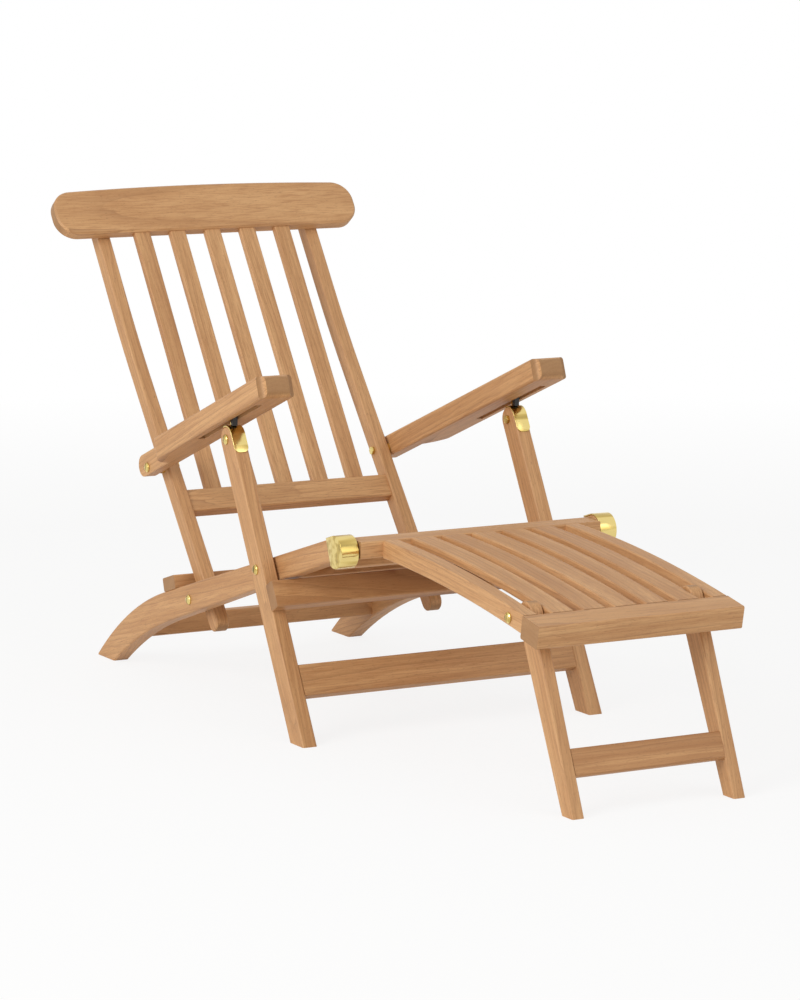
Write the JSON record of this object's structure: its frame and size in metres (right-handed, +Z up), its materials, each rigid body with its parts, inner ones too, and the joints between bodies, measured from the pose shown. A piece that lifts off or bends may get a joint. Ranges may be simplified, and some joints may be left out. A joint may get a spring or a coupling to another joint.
{
  "type": "steamer deck chair",
  "caption": "Folding wooden steamer deck chair: slatted seat and footrest, reclining slatted back with broad head rail, swinging arms on brass catches and splayed hinged legs.",
  "frame": {"origin": "on the floor under the middle of the chair", "axes": "+X across the chair, +Y from the footrest to the back, +Z up"},
  "size_m": [0.63, 1.7014, 0.8762],
  "materials": {
    "teak_frame": "sanded, unoiled teak",
    "teak_light": "sanded, unoiled teak, paler boards",
    "polished_brass": "polished",
    "black_nylon": "moulded"
  },
  "bodies": {
    "seat_frame": {"knuckle_cap_left": "polished_brass", "knuckle_cap_right": "polished_brass", "knuckle_pins": "polished_brass", "leg_pivot_bolts": "polished_brass", "leg_washers": "polished_brass", "rear_cross_bar": "teak_frame", "rear_stretcher": "teak_frame", "seat_batten": "teak_frame", "seat_front_rail": "teak_frame", "seat_slat_1": "teak_light", "seat_slat_2": "teak_light", "seat_slat_3": "teak_light", "seat_slat_4": "teak_light", "seat_slat_5": "teak_light", "seat_slat_6": "teak_light", "seat_slat_7": "teak_light", "side_rail_left": "teak_frame", "side_rail_right": "teak_frame"},
    "back_pivots": {"back_pivot_bolts": "polished_brass"},
    "backrest": {"back_slat_1": "teak_light", "back_slat_2": "teak_light", "back_slat_3": "teak_light", "back_slat_4": "teak_light", "back_slat_5": "teak_light", "back_stile_left": "teak_frame", "back_stile_right": "teak_frame", "head_rail": "teak_frame", "lower_back_rail": "teak_frame"},
    "arm_pivots": {"arm_pivot_bolts": "polished_brass", "arm_washers": "polished_brass"},
    "arm_left": {"arm_left": "teak_frame", "arm_rack_left": "polished_brass"},
    "arm_right": {"arm_rack_right": "polished_brass", "arm_right": "teak_frame"},
    "front_legs": {"apron_rail": "teak_frame", "catch_block_left": "black_nylon", "catch_block_right": "black_nylon", "front_leg_left": "teak_frame", "front_leg_right": "teak_frame", "front_stretcher": "teak_frame", "leg_saddle_left": "polished_brass", "leg_saddle_right": "polished_brass", "saddle_bolts": "polished_brass"},
    "footrest": {"footrest_front_rail": "teak_frame", "footrest_hinge_rail": "teak_frame", "footrest_side_left": "teak_frame", "footrest_side_right": "teak_frame", "footrest_slat_1": "teak_light", "footrest_slat_2": "teak_light", "footrest_slat_3": "teak_light", "footrest_slat_4": "teak_light", "footrest_slat_5": "teak_light"},
    "footrest_legs": {"footrest_leg_left": "teak_frame", "footrest_leg_right": "teak_frame", "footrest_leg_stretcher": "teak_frame", "footrest_pivot_bolts": "polished_brass"}
  },
  "joints": [
    {"name": "back_fold", "type": "hinge", "parent": "seat_frame", "child": "back_pivots", "pos_m": [0, 0.32071, 0.17], "axis": [1, 0, 0], "range_deg": [0, 80]},
    {"name": "back_recline", "type": "hinge", "parent": "back_pivots", "child": "backrest", "pos_m": [0, 0.32071, 0.17], "axis": [1, 0, 0], "range_deg": [-6, 15]},
    {"name": "arm_follow", "type": "hinge", "parent": "backrest", "child": "arm_pivots", "pos_m": [0, 0.49872, 0.38743], "axis": [1, 0, 0], "range_deg": [-12.5, 5.2]},
    {"name": "arm_left_lift", "type": "hinge", "parent": "arm_pivots", "child": "arm_left", "pos_m": [0, 0.49872, 0.38743], "axis": [-1, 0, 0], "range_deg": [0, 83.5]},
    {"name": "arm_right_lift", "type": "hinge", "parent": "arm_pivots", "child": "arm_right", "pos_m": [0, 0.49872, 0.38743], "axis": [-1, 0, 0], "range_deg": [0, 83.5]},
    {"name": "front_leg_fold", "type": "hinge", "parent": "seat_frame", "child": "front_legs", "pos_m": [0, -0.01597, 0.27863], "axis": [1, 0, 0], "range_deg": [0, 92.2]},
    {"name": "footrest_fold", "type": "hinge", "parent": "seat_frame", "child": "footrest", "pos_m": [0, -0.25229, 0.341], "axis": [1, 0, 0], "range_deg": [0, 90]},
    {"name": "footrest_leg_fold", "type": "hinge", "parent": "footrest", "child": "footrest_legs", "pos_m": [0, -0.70053, 0.29774], "axis": [1, 0, 0], "range_deg": [0, 102]}
  ],
  "couplings": [
    {"joint": "arm_follow", "follows": "back_recline", "ratio": -0.82},
    {"joint": "arm_left_lift", "follows": "back_fold", "ratio": 1.0375},
    {"joint": "arm_right_lift", "follows": "back_fold", "ratio": 1.0375},
    {"joint": "front_leg_fold", "follows": "back_fold", "ratio": 1.15}
  ]
}
